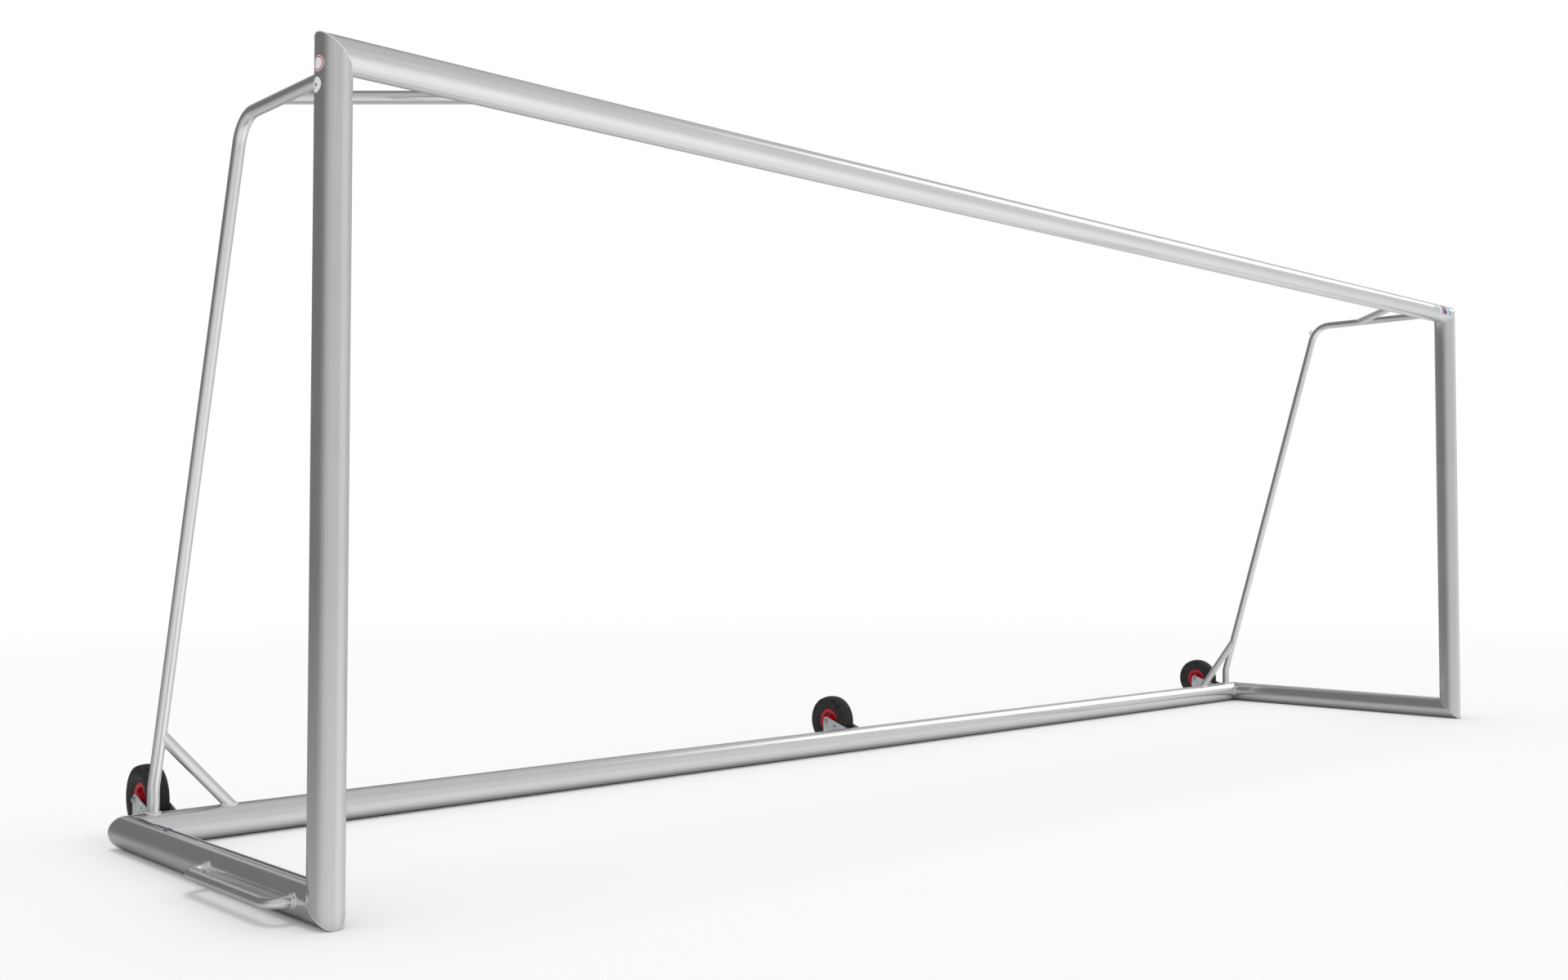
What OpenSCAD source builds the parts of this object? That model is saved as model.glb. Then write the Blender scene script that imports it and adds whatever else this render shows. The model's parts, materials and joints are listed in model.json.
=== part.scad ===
// Free-standing full-size soccer goal frame. An oval aluminium profile, mitred and
// welded, makes the mouth and the ground frame. Two bent round stays run from the
// crossbar's ends down to the rear ground tube, each with a top and a foot brace.
// A U-shaped handle stands out of each side ground tube, and three transport wheels
// in U-forks sit behind the rear ground tube, just clear of the ground.
// Axes: X across the mouth, +Y to the rear, +Z up. The origin is on the ground, below
// the middle of the whole object.

/* [Goal mouth] */
// Clear width between the posts
mouth_w = 7320; // [5000:10:7320]
// Clear height under the crossbar
mouth_h = 2440; // [2000:10:2440]
// From the posts' axis back to the rear ground tube's axis
base_depth = 1490; // [1350:10:2000]

/* [Oval profile] */
// Width of the profile, in the plane of each mitred corner at the mouth
profile_w = 105; // [100:1:110]
// Depth of the profile
profile_d = 120; // [118:1:130]
// Radius of the profile's two end arcs
profile_end_r = 46; // [40:1:48]
// Wall thickness of the profile
profile_wall = 2.5; // [2:0.5:4]
// Radius of the net groove's round channel
groove_r = 7; // [6:0.5:8]
// Width of the slot into the net groove
groove_slot = 8; // [6:0.5:10]

/* [Stays and braces] */
// Outside diameter of the stays and braces
stay_d = 42; // [38:1:48]
// Wall thickness of the stays, braces and handles
tube_wall = 2.5; // [2:0.5:4]
// From the mouth's side in to each stay's axis
stay_inset = 33; // [26:1:60]
// How far back the stay would run level before it slopes, from the posts' axis
stay_reach = 807; // [600:1:1000]
// Height at which the stay turns upright above the rear ground tube
stay_knee_z = 207; // [190:1:300]
// Bend radius of the stay's axis
stay_bend_r = 125; // [100:5:200]
// How far the top brace meets the stay behind the posts' axis
top_brace_back = 517; // [350:1:600]
// How far the top brace runs in along the crossbar
top_brace_in = 485; // [300:1:600]
// Height at which the foot brace meets the stay
foot_brace_up = 403; // [330:1:600]
// How far the foot brace runs in along the rear ground tube
foot_brace_in = 278; // [200:1:500]

/* [Handles] */
// Outside diameter of the handle's tube
handle_d = 35; // [28:1:40]
// Front leg's axis, behind the posts' axis
handle_front = 100; // [90:1:200]
// Distance between the handle's two legs
handle_span = 590; // [300:10:800]
// From the side ground tube's face out to the grip's axis
handle_out = 70; // [65:1:100]
// Bend radius of the handle's axis
handle_bend_r = 55; // [45:1:60]
// Height of the handle above the ground
handle_z = 66; // [55:1:70]

/* [Wheels and forks] */
// Diameter of each wheel over its tyre
wheel_d = 252; // [200:1:255]
// Width of each tyre
tyre_w = 80; // [60:1:84]
// Distance from the middle to each outer wheel
wheel_x = 3577; // [2200:1:3590]
// Axle's distance behind the rear ground tube's axis
axle_back = 185; // [182:1:220]
// Height of the axle above the ground
axle_z = 142.5; // [130:0.5:160]
// Inside width of each fork
fork_gap = 88; // [87:1:100]
// Thickness of the fork's plate
fork_t = 3; // [2:0.5:5]
// Diameter of the axle bolt
axle_d = 12; // [10:1:14]
// Outside diameter of the sleeve that the bearing turns on
sleeve_d = 20; // [18:1:22]
// Radial running clearance of the bearing on its sleeve
bearing_gap = 0.05; // [0.02:0.01:0.1]

/* [Ballast] */
// Diameter of the steel ballast bars inside the rear ground tube
ballast_d = 60; // [30:1:64]
// Length of each ballast bar
ballast_l = 1200; // [400:10:1500]

/* [Hidden] */
$fn = 96;

// Profile: the end arcs' centres, and the side arcs' radius, offset and tangent height
end_c = profile_d / 2 - profile_end_r;
side_r = (profile_w * profile_w / 4 + end_c * end_c - profile_end_r * profile_end_r)
    / (profile_w - 2 * profile_end_r);
side_e = side_r - profile_w / 2;
tangent_y = side_r * end_c / (side_r - profile_end_r);
groove_c = profile_d / 2 - profile_wall - groove_r;

// Axes of the profile's members
post_x = (mouth_w + profile_w) / 2;
bar_z = mouth_h + profile_w / 2;
ground_z = profile_d / 2;
face_x = post_x + profile_w / 2;

// Stays
stay_x = mouth_w / 2 - stay_inset;
stay_run = [base_depth - stay_reach, stay_knee_z - bar_z];
stay_turn = atan2(-stay_run[1], stay_run[0]);
stay_top_t = stay_bend_r * tan(stay_turn / 2);
stay_foot_t = stay_bend_r * tan((90 - stay_turn) / 2);
function stay_y(z) = stay_reach + (bar_z - z) * stay_run[0] / -stay_run[1];

// Wheels, forks and fasteners
wheel_r = wheel_d / 2;
axle_y = base_depth + axle_back;
wheel_places = [-wheel_x, 0, wheel_x];
fork_half = fork_gap / 2 + fork_t;
rim_r = 62;
rim_seat_r = 55;
rim_half = 27;
flange_t = 3.5;
hub_r = 24;
hub_half = fork_gap / 2 - 2;
bearing_r = 15;

// Forks: the axle's lobe, the cheeks' foot and heel, the toe where the top edge meets the
// tube, and a spare hole in each cheek
lobe_r = 20;
fork_foot_z = 24;
heel_r = 14;
heel_z = fork_foot_z + 40;
foot_y = base_depth + 60;
toe = [base_depth + 22, profile_d - 8];
spare_hole = [axle_y - 65, axle_z - 22.5];
spare_hole_r = 5.5;

// Fork bolts and rivet nuts: M8 in 11 mm holes, two rows of two at each fork
nut_r = 5.5;
nut_l = 15;
bolt_r = 4;
bolt_play = 0.5;
bolt_l = 18;
head_af = 13;
head_t = 5.3;
bolt_angles = [-20, 20];
bolt_dx = 27;
cut_l = 30;

// The whole object spans front_y to rear_y in the goal's own frame, and is centred on Y
front_y = -profile_d / 2;
rear_y = axle_y + wheel_r;
mid_y = (front_y + rear_y) / 2;
eps = 0.01;

module placed() {
    translate([0, -mid_y, 0]) children();
}

module mirrored() {
    mirror([1, 0, 0]) children();
}

// Turns +Z to the direction v
module facing(v) {
    rotate([0, acos(v[2] / norm(v)), atan2(v[1], v[0])]) children();
}

// Everything beyond a plane through p, on the side that v points to
module beyond(p, v, size = 400) {
    translate(p) facing(v) translate([-size / 2, -size / 2, 0]) cube(size);
}

// Straight round bar from a to b
module rod(a, b, r) {
    translate(a) facing(b - a) cylinder(h = norm(b - a), r = r);
}

// Bend of a round bar, from the origin along +X and turning to -Y. It is a hair slimmer
// than the straight runs and laps a little way into them, so that they join as one solid.
// Children are placed where it ends, in a frame whose +X is the bar's new direction.
module bend(r, turn, bar_r) {
    slimmer = 0.03;
    lap = 60 / r;
    translate([0, -r, 0]) {
        rotate([0, 0, 90 - turn - lap]) rotate_extrude(angle = turn + 2 * lap)
            translate([r, 0]) circle(r = bar_r - slimmer);
        rotate([0, 0, -turn]) translate([0, r, 0]) children();
    }
}

// Straight bar along +X, with children placed at its far end. Its seam faces +Y, in line
// with the bends' seams.
module run(length, bar_r) {
    rotate([0, 90, 0]) rotate([0, 0, 90]) cylinder(h = length, r = bar_r);
    translate([length, 0, 0]) children();
}

// ---- oval profile ----

// Oval of four tangent arcs, moved inwards by inset
module oval(inset = 0) {
    for (s = [-1, 1]) translate([0, s * end_c]) circle(r = profile_end_r - inset);
    intersection() {
        translate([-side_e, 0]) circle(r = side_r - inset);
        translate([side_e, 0]) circle(r = side_r - inset);
        cut_y = tangent_y * (side_r - inset) / side_r;
        translate([-profile_w, -cut_y]) square([2 * profile_w, 2 * cut_y]);
    }
}

module profile_section() {
    difference() {
        oval();
        difference() {
            oval(profile_wall);
            translate([0, groove_c]) circle(r = groove_r + profile_wall);
        }
        translate([0, groove_c]) circle(r = groove_r);
        translate([-groove_slot / 2, groove_c]) square([groove_slot, profile_d]);
    }
}

module post_bar() {
    translate([-post_x, 0, 0]) linear_extrude(bar_z + profile_w / 2) children();
}

module cross_bar() {
    translate([0, 0, bar_z]) rotate([0, 90, 0]) linear_extrude(2 * face_x, center = true) children();
}

module side_bar() {
    translate([-post_x, base_depth + profile_w / 2, ground_z]) rotate([90, 0, 0])
        linear_extrude(base_depth + profile_w / 2 - front_y) children();
}

module rear_bar() {
    translate([0, base_depth, ground_z]) rotate([90, 0, 90])
        linear_extrude(2 * face_x, center = true) children();
}

top_corner = [-post_x, 0, bar_z];
front_corner = [-post_x, 0, ground_z];
rear_corner = [-post_x, base_depth, ground_z];

module post_shape() {
    difference() {
        post_bar() profile_section();
        beyond(top_corner, [1, 0, 1]);
        beyond(front_corner, [0, 1, -1]);
    }
}

module side_tube_shape() {
    difference() {
        side_bar() profile_section();
        beyond(front_corner, [0, -1, 1]);
        beyond(rear_corner, [1, 1, 0]);
    }
}

module left_post() {
    color("silver") placed() post_shape();
}

module right_post() {
    color("silver") placed() mirrored() post_shape();
}

module crossbar() {
    color("silver") placed() difference() {
        cross_bar() profile_section();
        beyond(top_corner, [-1, 0, -1]);
        mirrored() beyond(top_corner, [-1, 0, -1]);
    }
}

module left_ground_tube() {
    color("silver") placed() side_tube_shape();
}

module right_ground_tube() {
    color("silver") placed() mirrored() side_tube_shape();
}

module rear_ground_tube() {
    color("silver") placed() difference() {
        rear_bar() profile_section();
        beyond(rear_corner, [-1, -1, 0]);
        mirrored() beyond(rear_corner, [-1, -1, 0]);
        at_fork_bolts() cylinder(h = cut_l, r = nut_r, center = true);
    }
}

// ---- stays and braces ----

// The left stay as a round bar of radius r, from the crossbar's axis to the rear tube's axis
module stay_bar(r) {
    level = stay_reach - stay_top_t;
    slope = norm(stay_run) - stay_top_t - stay_foot_t;
    translate([-stay_x, 0, bar_z]) rotate([90, 0, 90])
        run(level, r) bend(stay_bend_r, stay_turn, r)
            run(slope, r) bend(stay_bend_r, 90 - stay_turn, r)
                run(stay_knee_z - stay_foot_t - ground_z, r);
}

module stay_shape() {
    difference() {
        stay_bar(stay_d / 2);
        stay_bar(stay_d / 2 - tube_wall);
        cross_bar() oval();
        rear_bar() oval();
    }
}

top_brace_a = [-stay_x, top_brace_back, bar_z];
top_brace_b = [-stay_x + top_brace_in, profile_d / 2, bar_z];
foot_brace_a = [-stay_x, stay_y(foot_brace_up), foot_brace_up];
foot_brace_b = [-stay_x + foot_brace_in, base_depth, profile_d];

// A brace from the stay's axis at a towards b, run on past b and cut to the members it meets
module brace_shape(a, b) {
    past = b + (b - a) / norm(b - a) * stay_d;
    difference() {
        rod(a, past, stay_d / 2);
        rod(a, past, stay_d / 2 - tube_wall);
        stay_bar(stay_d / 2);
        cross_bar() oval();
        rear_bar() oval();
    }
}

module left_stay() {
    color("gainsboro") placed() stay_shape();
}

module right_stay() {
    color("gainsboro") placed() mirrored() stay_shape();
}

module left_top_brace() {
    color("gainsboro") placed() brace_shape(top_brace_a, top_brace_b);
}

module right_top_brace() {
    color("gainsboro") placed() mirrored() brace_shape(top_brace_a, top_brace_b);
}

module left_foot_brace() {
    color("gainsboro") placed() brace_shape(foot_brace_a, foot_brace_b);
}

module right_foot_brace() {
    color("gainsboro") placed() mirrored() brace_shape(foot_brace_a, foot_brace_b);
}

// Flat ring welded to the outside of the right stay's top bend, for a net cord
module net_eyelet() {
    ring_r = 14;
    hole_r = 6;
    ring_t = 5;
    around_bend = 55;
    rim = 2;
    out = stay_bend_r + stay_d / 2 + hole_r + rim;
    centre = [
        stay_x,
        stay_reach - stay_top_t + out * sin(around_bend),
        bar_z - stay_bend_r + out * cos(around_bend)
    ];
    color("gainsboro") placed() difference() {
        translate(centre) rotate([0, 90, 0]) cylinder(h = ring_t, r = ring_r, center = true);
        translate(centre) rotate([0, 90, 0]) cylinder(h = 3 * ring_t, r = hole_r, center = true);
        mirrored() stay_bar(stay_d / 2);
    }
}

// ---- handles ----

handle_x = face_x + handle_out;
handle_rear = handle_front + handle_span;

// From the side tube's axis out, back along the grip, and in again
module handle_bar(r) {
    leg = handle_x - post_x - handle_bend_r;
    grip = handle_span - 2 * handle_bend_r;
    translate([-post_x, handle_front, handle_z]) rotate([0, 0, 180])
        run(leg, r) bend(handle_bend_r, 90, r)
            run(grip, r) bend(handle_bend_r, 90, r)
                run(leg, r);
}

module handle_shape() {
    difference() {
        handle_bar(handle_d / 2);
        handle_bar(handle_d / 2 - tube_wall);
        side_bar() oval();
    }
}

module collar_shape() {
    collar_t = 6;
    collar_wall = 3.5;
    for (y = [handle_front, handle_rear]) difference() {
        rod([-post_x, y, handle_z], [-face_x - collar_t, y, handle_z], handle_d / 2 + collar_wall);
        rod([-post_x, y, handle_z], [-handle_x, y, handle_z], handle_d / 2);
        side_bar() oval();
    }
}

module left_handle() {
    color("gainsboro") placed() handle_shape();
}

module right_handle() {
    color("gainsboro") placed() mirrored() handle_shape();
}

module left_handle_collars() {
    color("whitesmoke") placed() collar_shape();
}

module right_handle_collars() {
    color("whitesmoke") placed() mirrored() collar_shape();
}

// ---- ballast inside the rear ground tube ----

ballast_z = profile_wall + ballast_d / 2 + 0.2;
ballast_gap = 40;
ballast_start = 300;

module ballast_bars() {
    step = ballast_l + ballast_gap;
    color("darkslategray") placed() for (s = [-1, 1], i = [0, 1])
        translate([s * (ballast_start + ballast_l / 2 + i * step), base_depth, ballast_z])
            rotate([0, 90, 0]) cylinder(h = ballast_l, r = ballast_d / 2, center = true);
}

// Plastic chocks with the hollow's outline hold the bars' ends
module ballast_chocks() {
    chock_t = 30;
    play = 0.4;
    step = ballast_l + ballast_gap;
    color("dimgray") placed() for (s = [-1, 1], i = [0, 1, 2])
        translate([s * (ballast_start - ballast_gap / 2 + i * step), base_depth, ground_z])
            rotate([90, 0, 90]) linear_extrude(chock_t, center = true) difference() {
                oval(profile_wall + play);
                translate([0, groove_c]) circle(r = groove_r + profile_wall + play);
                translate([-profile_w, groove_c]) square([2 * profile_w, profile_d]);
            }
}

// ---- forks ----

// Places children at each fork bolt: the origin is on the tube's surface, +Z points out of it
module at_fork_bolts() {
    for (x = wheel_places) at_one_fork(x) children();
}

module at_one_fork(x) {
    for (dx = [-bolt_dx, bolt_dx], a = bolt_angles)
        translate([x + dx, base_depth - side_e, ground_z]) rotate([a - 90, 0, 0])
            translate([0, 0, side_r]) children();
}

// Cheek outline, in Y and Z: a round lobe about the axle, and a straight-edged plate to the tube
module cheek_outline() {
    axle = [axle_y, axle_z];
    to_axle = axle - toe;
    lean = atan2(to_axle[1], to_axle[0]) + asin(lobe_r / norm(to_axle));
    lobe_top = axle + lobe_r * [-sin(lean), cos(lean)];
    translate(axle) circle(r = lobe_r);
    polygon([
        toe, lobe_top, axle, [axle_y + lobe_r, axle_z],
        [axle_y + lobe_r, heel_z + heel_r], [axle_y + lobe_r - heel_r, heel_z],
        [foot_y, fork_foot_z], [base_depth, fork_foot_z], [base_depth, toe[1]]
    ]);
}

module fork_shape(x) {
    difference() {
        union() {
            for (s = [-1, 1])
                translate([x + s * (fork_half - fork_t / 2), 0, 0]) rotate([90, 0, 90])
                    linear_extrude(fork_t, center = true) cheek_outline();
            intersection() {
                translate([x, base_depth, ground_z]) rotate([90, 0, 90])
                    linear_extrude(fork_gap, center = true) oval(-fork_t);
                translate([x - fork_gap, toe[0], fork_foot_z])
                    cube([2 * fork_gap, profile_d, toe[1] - fork_foot_z]);
            }
        }
        rear_bar() oval();
        at_one_fork(x) cylinder(h = cut_l, r = bolt_r + bolt_play, center = true);
        translate([x, axle_y, axle_z]) rotate([0, 90, 0])
            cylinder(h = 2 * fork_gap, r = axle_d / 2 + axle_play, center = true);
        translate([x, spare_hole[0], spare_hole[1]]) rotate([0, 90, 0])
            cylinder(h = 2 * fork_gap, r = spare_hole_r, center = true);
    }
}

module left_fork() {
    color("lightsteelblue") placed() fork_shape(-wheel_x);
}

module middle_fork() {
    color("lightsteelblue") placed() fork_shape(0);
}

module right_fork() {
    color("lightsteelblue") placed() fork_shape(wheel_x);
}

module hex_prism(af, h) {
    cylinder(h = h, r = af / sqrt(3), $fn = 6);
}

module fork_bolts() {
    color("lightgray") placed() at_fork_bolts() {
        translate([0, 0, fork_t]) hex_prism(head_af, head_t);
        translate([0, 0, -bolt_l]) cylinder(h = bolt_l + fork_t + eps, r = bolt_r);
    }
}

// Rivet nuts set in the tube's rear wall, each with the collar that squeezes up behind it
module rivet_nuts() {
    bulge_r = 7;
    bulge_t = 4;
    gap = 0.4;
    color("goldenrod") placed() at_fork_bolts() difference() {
        union() {
            translate([0, 0, -nut_l]) cylinder(h = nut_l - gap, r = nut_r);
            translate([0, 0, -profile_wall - gap - bulge_t]) cylinder(h = bulge_t, r = bulge_r);
        }
        cylinder(h = 2 * cut_l, r = bolt_r, center = true);
    }
}

// ---- axles ----

axle_head_af = 19;
axle_head_t = 7.5;
axle_nut_t = 10;
axle_end = 4;
axle_play = 0.25;
washer_t = 2.5;
sleeve_play = 0.1;

// Along X about an axle
module on_axle(x) {
    translate([x, axle_y, axle_z]) rotate([0, 90, 0]) children();
}

module axle_bolt_shape(x) {
    on_axle(x) {
        translate([0, 0, -fork_half - washer_t - axle_head_t]) hex_prism(axle_head_af, axle_head_t);
        translate([0, 0, -fork_half - washer_t - eps])
            cylinder(h = 2 * fork_half + 2 * washer_t + axle_nut_t + axle_end, r = axle_d / 2);
    }
}

module left_axle_bolt() {
    color("lightgray") placed() axle_bolt_shape(-wheel_x);
}

module middle_axle_bolt() {
    color("lightgray") placed() axle_bolt_shape(0);
}

module right_axle_bolt() {
    color("lightgray") placed() axle_bolt_shape(wheel_x);
}

module axle_sleeves() {
    color("silver") placed() for (x = wheel_places) on_axle(x) difference() {
        cylinder(h = fork_gap, r = sleeve_d / 2, center = true);
        cylinder(h = 2 * fork_gap, r = axle_d / 2 + sleeve_play, center = true);
    }
}

module axle_washers() {
    color("silver") placed() for (x = wheel_places, s = [-1, 1]) on_axle(x)
        translate([0, 0, s * (fork_half + washer_t / 2)]) difference() {
            cylinder(h = washer_t, r = axle_d, center = true);
            cylinder(h = 3 * washer_t, r = axle_d / 2 + axle_play, center = true);
        }
}

module axle_nuts() {
    color("lightgray") placed() for (x = wheel_places) on_axle(x)
        translate([0, 0, fork_half + washer_t]) difference() {
            hex_prism(axle_head_af, axle_nut_t);
            translate([0, 0, -1]) cylinder(h = axle_nut_t + 2, r = axle_d / 2);
        }
}

// ---- wheels: each section has the radius along X and the axle along Y ----

// The rim's ring: a channel with a flange on each side, which holds the tyre's beads
module rim_ring_section() {
    difference() {
        translate([rim_seat_r - 5, -rim_half]) square([rim_r - rim_seat_r + 5, 2 * rim_half]);
        translate([rim_seat_r, -rim_half + flange_t])
            square([rim_r, 2 * (rim_half - flange_t)]);
    }
}

module tyre_section() {
    radial_half = (wheel_r - rim_seat_r) / 2;
    corner_r = 0.62 * radial_half;
    mid_r = rim_seat_r + radial_half;
    crown_r = 70;
    wall = 13;
    difference() {
        union() {
            for (s = [-1, 1]) translate([mid_r, s * (tyre_w / 2 - corner_r)]) circle(r = corner_r);
            intersection() {
                translate([wheel_r - crown_r, 0]) circle(r = crown_r);
                translate([mid_r - corner_r * 0.6, -tyre_w / 2 + corner_r * 0.6])
                    square([radial_half * 2, tyre_w - 1.2 * corner_r]);
            }
            translate([rim_seat_r, -rim_half + flange_t])
                square([radial_half, 2 * (rim_half - flange_t)]);
        }
        difference() {
            translate([0, -rim_half]) square([rim_r, 2 * rim_half]);
            translate([rim_seat_r, -rim_half + flange_t])
                square([rim_r, 2 * (rim_half - flange_t)]);
        }
        translate([mid_r - 2, 0]) circle(r = radial_half - wall);
    }
}

module rim_shape() {
    web_t = 5;
    rib_n = 5;
    rib_t = 4;
    rib_w = 40;
    lap = 4;
    rotate_extrude() {
        rim_ring_section();
        translate([hub_r - lap, -web_t / 2]) square([rim_seat_r - hub_r, web_t]);
        translate([bearing_r, -hub_half]) square([hub_r - bearing_r, 2 * hub_half]);
    }
    for (i = [0 : rib_n - 1]) rotate([0, 0, i * 360 / rib_n])
        translate([hub_r - lap, -rib_t / 2, -rib_w / 2])
            cube([rim_seat_r - hub_r, rib_t, rib_w]);
}

module tyre(x) {
    color("black") placed() on_axle(x) rotate_extrude() tyre_section();
}

module rim(x) {
    color("crimson") placed() on_axle(x) rim_shape();
}

module bearing(x) {
    color("white") placed() on_axle(x) difference() {
        cylinder(h = 2 * hub_half + 2, r = bearing_r, center = true);
        cylinder(h = 2 * fork_gap, r = sleeve_d / 2 + bearing_gap, center = true);
    }
}

module left_tyre() { tyre(-wheel_x); }
module middle_tyre() { tyre(0); }
module right_tyre() { tyre(wheel_x); }
module left_rim() { rim(-wheel_x); }
module middle_rim() { rim(0); }
module right_rim() { rim(wheel_x); }
module left_bearing() { bearing(-wheel_x); }
module middle_bearing() { bearing(0); }
module right_bearing() { bearing(wheel_x); }

left_post();
right_post();
crossbar();
left_ground_tube();
right_ground_tube();
rear_ground_tube();
left_stay();
right_stay();
left_top_brace();
right_top_brace();
left_foot_brace();
right_foot_brace();
left_handle();
right_handle();
left_handle_collars();
right_handle_collars();
net_eyelet();
ballast_bars();
ballast_chocks();
left_fork();
middle_fork();
right_fork();
fork_bolts();
rivet_nuts();
left_axle_bolt();
middle_axle_bolt();
right_axle_bolt();
axle_sleeves();
axle_washers();
axle_nuts();
left_tyre();
middle_tyre();
right_tyre();
left_rim();
middle_rim();
right_rim();
left_bearing();
middle_bearing();
right_bearing();
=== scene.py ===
"""Full-size soccer goal frame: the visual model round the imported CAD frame.

Everything is in metres, in the CAD's row frame: +X along the crossbar, +Y from the mouth
to the rear, +Z up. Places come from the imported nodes' boxes.
"""
import json
import math

import bmesh
import bpy
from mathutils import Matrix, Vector
from mathutils.bvhtree import BVHTree


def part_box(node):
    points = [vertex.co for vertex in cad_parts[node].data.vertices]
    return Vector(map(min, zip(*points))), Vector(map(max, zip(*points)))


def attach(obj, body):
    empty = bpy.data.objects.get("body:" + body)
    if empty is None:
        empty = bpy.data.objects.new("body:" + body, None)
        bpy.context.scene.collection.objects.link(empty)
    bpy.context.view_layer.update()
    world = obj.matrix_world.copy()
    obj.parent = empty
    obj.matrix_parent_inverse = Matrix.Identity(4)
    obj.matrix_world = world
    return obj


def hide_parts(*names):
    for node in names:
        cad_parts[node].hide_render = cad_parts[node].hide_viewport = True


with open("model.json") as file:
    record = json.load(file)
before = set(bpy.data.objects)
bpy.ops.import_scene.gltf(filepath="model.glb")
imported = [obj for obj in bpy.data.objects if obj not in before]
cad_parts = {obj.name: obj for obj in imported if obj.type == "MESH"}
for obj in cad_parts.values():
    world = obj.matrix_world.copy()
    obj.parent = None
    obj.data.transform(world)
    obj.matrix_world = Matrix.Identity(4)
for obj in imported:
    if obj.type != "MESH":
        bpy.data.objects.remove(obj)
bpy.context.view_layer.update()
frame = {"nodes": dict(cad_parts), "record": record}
NODES = frame["nodes"]
SCENE = bpy.context.scene
MM = 0.001


# ---- places and sizes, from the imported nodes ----

def middle(node):
    """Centre of a node's box."""
    lo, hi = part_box(node)
    return (lo + hi) / 2


def size(node):
    """Extent of a node's box."""
    lo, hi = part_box(node)
    return hi - lo


POST_X = middle("right_post").x
MOUTH_Y = middle("right_post").y
BAR_Z = middle("crossbar").z
REAR_Y = middle("rear_ground_tube").y
GROUND_Z = middle("rear_ground_tube").z
PROFILE_W = size("right_post").x
PROFILE_D = size("right_post").y
STAY_X = middle("right_stay").x
STAY_R = size("right_stay").x / 2
HANDLE_R = size("right_handle").z / 2
HANDLE_Z = middle("right_handle").z
GRIP_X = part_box("right_handle")[1].x - HANDLE_R
HANDLE_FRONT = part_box("right_handle")[0].y + HANDLE_R
HANDLE_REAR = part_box("right_handle")[1].y - HANDLE_R
AXLES = {s: middle(s + "_tyre") for s in ("left", "middle", "right")}
WHEEL_R = size("middle_tyre").z / 2
TYRE_W = size("middle_tyre").x
SIDES = {"left": -1, "right": 1}

# The profile's end arcs, its groove, the limbs' paths and the rim's seat, as in the CAD
END_R = 46 * MM
GROOVE_R = 7 * MM
GROOVE_SLOT = 8 * MM
GROOVE_IN = PROFILE_D / 2 - 9.5 * MM
STAY_REACH = 0.807
STAY_KNEE_Z = 0.207
STAY_BEND_R = 0.125
TOP_BRACE_BACK = 0.517
TOP_BRACE_IN = 0.485
FOOT_BRACE_UP = 0.403
FOOT_BRACE_IN = 0.278
HANDLE_BEND_R = 0.055
RIM_R = 0.062
SEAT_R = 0.055
# How far the stays and the other limbs are let into the members that they are welded to
STAY_SUNK = 20 * MM
LIMB_SUNK = 12 * MM


# ---- materials ----

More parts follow.
